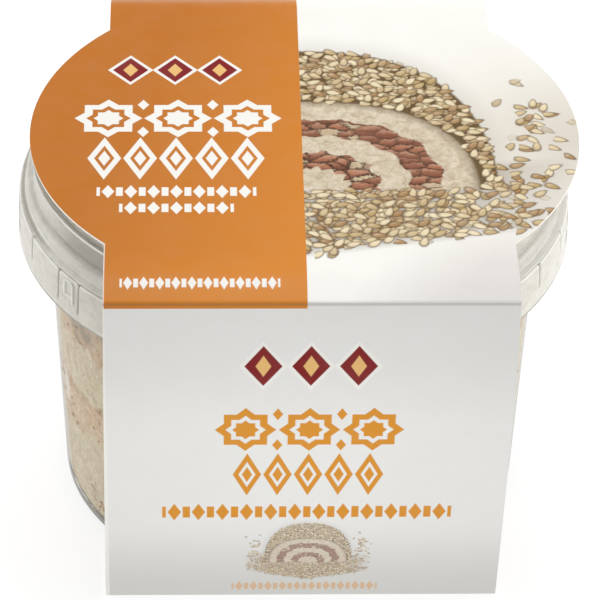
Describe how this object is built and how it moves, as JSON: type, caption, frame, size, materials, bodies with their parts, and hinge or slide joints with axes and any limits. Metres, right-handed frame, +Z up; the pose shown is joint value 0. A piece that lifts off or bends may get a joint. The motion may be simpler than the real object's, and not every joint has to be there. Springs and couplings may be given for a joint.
{
  "type": "tub of halva cake",
  "caption": "Clear round tub of layered halva cake with nut filling, shut by a clear lid and wrapped in a die-cut card sleeve whose top widens to a disc.",
  "frame": {"origin": "middle of the footprint box, on the surface the part stands on", "axes": "+Z up, the sleeve's front panel faces -Y, +X to the right seen from the front"},
  "size_m": [0.1111, 0.1112, 0.0802],
  "materials": {
    "clear_plastic": "clear moulded polypropylene, slightly milky",
    "lid_plastic": "clear moulded polypropylene with a satin surface",
    "printed_board": "coated white board with an orange field, uncoated cut edges",
    "halva": "dry, fibrous and crumbly sesame paste",
    "filling": "sticky caramel with chopped nuts"
  },
  "bodies": {
    "root": {"tub": "clear_plastic", "lid": "lid_plastic", "sleeve": "printed_board", "halva_bottom": "halva", "filling_lower": "filling", "halva_middle": "halva", "filling_upper": "filling", "halva_top": "halva"}
  },
  "joints": []
}
